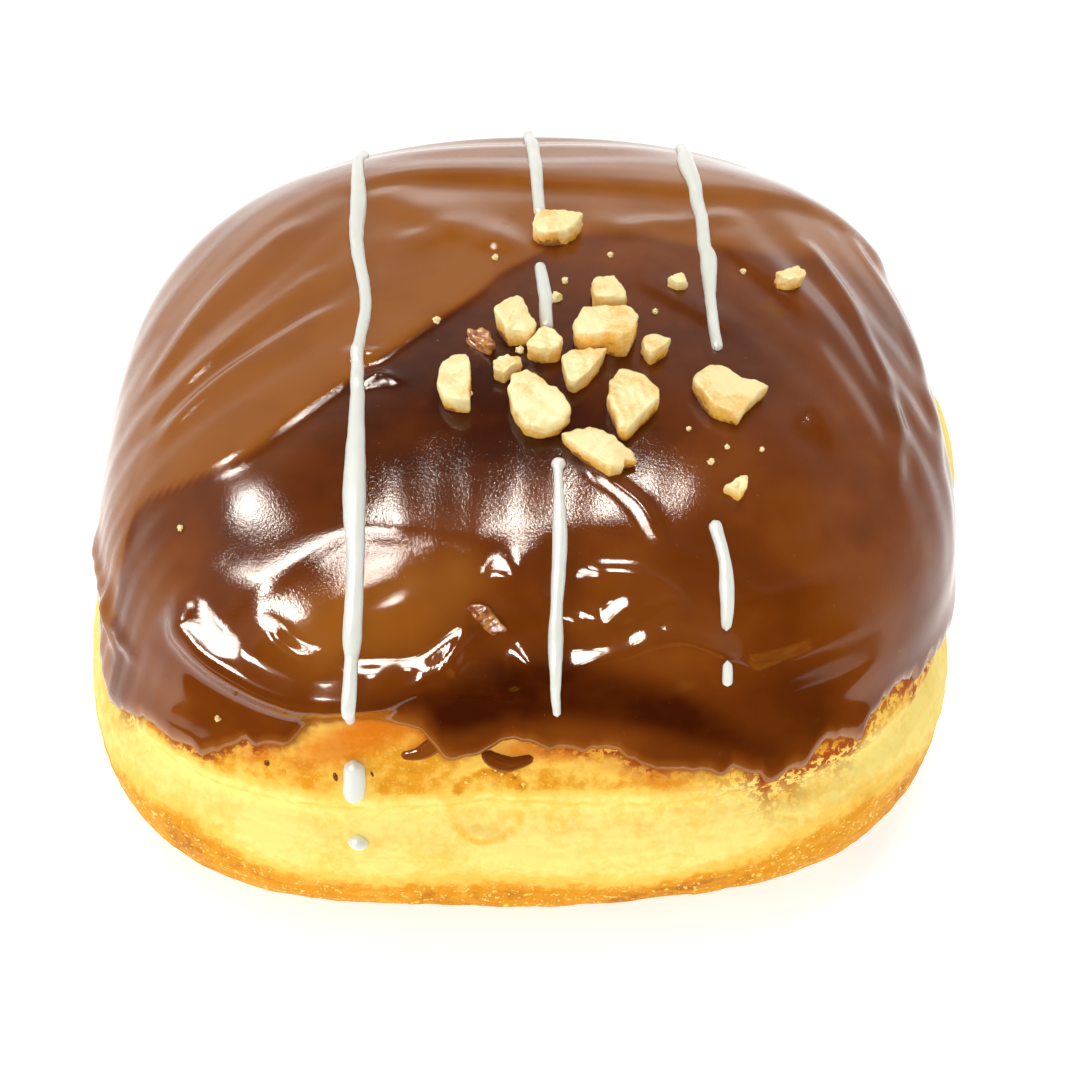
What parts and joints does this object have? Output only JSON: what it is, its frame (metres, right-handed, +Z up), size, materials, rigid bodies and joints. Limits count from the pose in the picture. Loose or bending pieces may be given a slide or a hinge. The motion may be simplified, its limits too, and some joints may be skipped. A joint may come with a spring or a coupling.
{
  "type": "square filled doughnut",
  "caption": "Square filled doughnut without a hole: fried dough pillow with a pale belt, a cap of chocolate icing with white drizzle lines, and chopped nuts on top.",
  "frame": {"origin": "middle of the box that the doughnut takes up, on the surface that it stands on", "axes": "+Z up through the crown, +X to the right and -Y towards the front, the side that shows the drips and the filling mark"},
  "size_m": [0.0942, 0.0924, 0.05],
  "materials": {
    "dough": "soft fried dough, pale yellow belt, golden brown cap and base",
    "chocolate_icing": "satin to glossy set chocolate icing with folds",
    "white_icing": "set white sugar icing, in the drizzle lines and the drops",
    "nut": "matt chopped roasted nut, cream to golden",
    "nut_skin": "thin shiny red-brown nut skin"
  },
  "bodies": {
    "root": {"dough": "dough", "chocolate_icing": "chocolate_icing", "nut_large": "nut", "nut_fish": "nut", "nut_smooth_wedge": "nut", "nut_two_lobed": "nut", "nut_half_kernel": "nut", "nut_sliver": "nut", "nut_back": "nut", "nut_peaked": "nut", "nut_behind": "nut", "nut_triangle": "nut", "nut_right": "nut", "nut_middle": "nut", "nut_paired": "nut", "nut_tooth": "nut", "nut_far_right": "nut", "nut_chip": "nut", "skin_flake_back": "nut_skin", "skin_flake_front": "nut_skin"}
  },
  "joints": []
}
